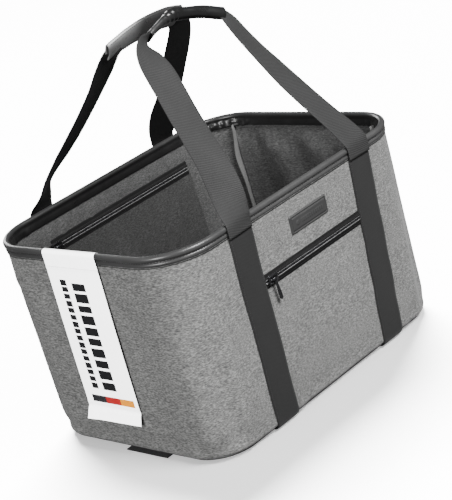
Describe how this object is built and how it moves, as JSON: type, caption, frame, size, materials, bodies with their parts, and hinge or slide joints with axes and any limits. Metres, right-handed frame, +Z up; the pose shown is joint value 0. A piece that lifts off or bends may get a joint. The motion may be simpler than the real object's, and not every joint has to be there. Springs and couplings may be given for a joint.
{
  "type": "foldable tote bag",
  "caption": "Open fabric basket bag with a stiff base, a hollow rim frame, two webbing handles with soft grips, zip pockets, a closing band and a hang tag; it folds flat.",
  "frame": {"origin": "on the ground under the middle of the bag, on the underside of the closing band", "axes": "+X along the bag's length to the right of someone facing its front, -Y out of the front with the outside zip, +Z up out of the open top"},
  "size_m": [0.4808, 0.3758, 0.5377],
  "materials": {
    "heather_fabric": "heathered woven polyester, matt",
    "lining_fabric": "dark heathered lining, matt",
    "webbing": "flat woven webbing, matt",
    "elastic": "wide woven elastic, matt",
    "cover_leather": "coated artificial leather, semi-gloss",
    "patch_leather": "pressed artificial leather, satin",
    "board": "stiff sheet, not seen",
    "aluminium": "drawn tube, not seen",
    "foam": "soft padding, not seen",
    "zip_tape": "woven tape, matt",
    "zip_teeth": "coil, semi-gloss",
    "gunmetal": "dark plated zinc, polished",
    "card": "coated paper card, white"
  },
  "bodies": {
    "base": {"closing_band": "elastic", "base_strap_left": "webbing", "base_strap_right": "webbing", "bottom_panel": "heather_fabric", "base_piping": "cover_leather", "base_board": "board", "floor_lining": "lining_fabric", "front_outer_panel": "heather_fabric", "rear_outer_panel": "heather_fabric", "front_lining": "lining_fabric", "rear_lining": "lining_fabric", "left_lining": "lining_fabric", "right_lining": "lining_fabric", "corner_binding_front_left": "webbing", "corner_binding_front_right": "webbing", "corner_binding_rear_left": "webbing", "corner_binding_rear_right": "webbing", "front_pocket_bag": "lining_fabric", "inner_pocket_panel": "lining_fabric", "front_strap_left": "webbing", "front_strap_right": "webbing", "rear_strap_left": "webbing", "rear_strap_right": "webbing", "label_patch": "patch_leather"},
    "rim": {"rim_cover": "cover_leather", "frame_tube_front": "aluminium", "frame_tube_rear": "aluminium", "frame_ferrule_left": "aluminium", "frame_ferrule_right": "aluminium", "front_rim_tab_left": "webbing", "front_rim_tab_right": "webbing", "rear_rim_tab_left": "webbing", "rear_rim_tab_right": "webbing", "hang_tag_loop": "card"},
    "front_handle": {"front_handle_leg_left": "webbing", "front_handle_leg_right": "webbing", "front_grip_core": "foam", "front_grip_sleeve": "cover_leather"},
    "rear_handle": {"rear_handle_leg_left": "webbing", "rear_handle_leg_right": "webbing", "rear_grip_core": "foam", "rear_grip_sleeve": "cover_leather"},
    "hang_tag": {"hang_tag_flap": "card"},
    "front_zip": {"front_zip_tape_upper": "zip_tape", "front_zip_tape_lower": "zip_tape", "front_zip_teeth": "zip_teeth"},
    "front_slider": {"front_zip_slider": "gunmetal"},
    "front_pull": {"front_zip_pull": "gunmetal"},
    "inner_zip": {"inner_zip_tape_upper": "zip_tape", "inner_zip_tape_lower": "zip_tape", "inner_zip_teeth": "zip_teeth"},
    "inner_slider": {"inner_zip_slider": "gunmetal"},
    "inner_pull": {"inner_zip_pull": "gunmetal"}
  },
  "joints": [
    {"name": "fold", "type": "slide", "parent": "base", "child": "rim", "axis": [0, 0, -1], "range_m": [0, 0.237], "deforming": ["front_outer_panel", "rear_outer_panel", "front_lining", "rear_lining", "left_lining", "right_lining", "corner_binding_front_left", "corner_binding_front_right", "corner_binding_rear_left", "corner_binding_rear_right", "front_strap_left", "front_strap_right", "rear_strap_left", "rear_strap_right", "front_pocket_bag", "inner_pocket_panel", "label_patch"]},
    {"name": "front_handle_swing", "type": "hinge", "parent": "rim", "child": "front_handle", "pos_m": [0, -0.1871, 0.2964], "axis": [-1, 0, 0], "range_deg": [-117.9, 61]},
    {"name": "rear_handle_swing", "type": "hinge", "parent": "rim", "child": "rear_handle", "pos_m": [0, 0.1871, 0.2964], "axis": [1, 0, 0], "range_deg": [-129, 43.8]},
    {"name": "tag_swing", "type": "hinge", "parent": "rim", "child": "hang_tag", "pos_m": [-0.24055, 0, 0.2732], "axis": [0, 1, 0], "range_deg": [0, 98]},
    {"name": "front_zip_drop", "type": "slide", "parent": "base", "child": "front_zip", "axis": [0, 0, -1], "range_m": [0, 0.165]},
    {"name": "front_zip_slide", "type": "slide", "parent": "front_zip", "child": "front_slider", "axis": [1, 0, 0], "range_m": [0, 0.17]},
    {"name": "front_pull_swing", "type": "hinge", "parent": "front_slider", "child": "front_pull", "pos_m": [-0.0835, -0.18579, 0.19676], "axis": [-1, 0, 0], "range_deg": [0, 120]},
    {"name": "inner_zip_drop", "type": "slide", "parent": "base", "child": "inner_zip", "axis": [0, 0, -1], "range_m": [0, 0.2]},
    {"name": "inner_zip_slide", "type": "slide", "parent": "inner_zip", "child": "inner_slider", "axis": [1, 0, 0], "range_m": [0, 0.262]},
    {"name": "inner_pull_swing", "type": "hinge", "parent": "inner_slider", "child": "inner_pull", "pos_m": [-0.127, 0.17166, 0.23924], "axis": [-1, 0, 0], "range_deg": [0, 120]}
  ],
  "couplings": [
    {"joint": "front_zip_drop", "follows": "fold", "ratio": 0.6821},
    {"joint": "inner_zip_drop", "follows": "fold", "ratio": 0.8318},
    {"joint": "tag_swing", "follows": "fold", "rad_per_m": 7.14}
  ]
}
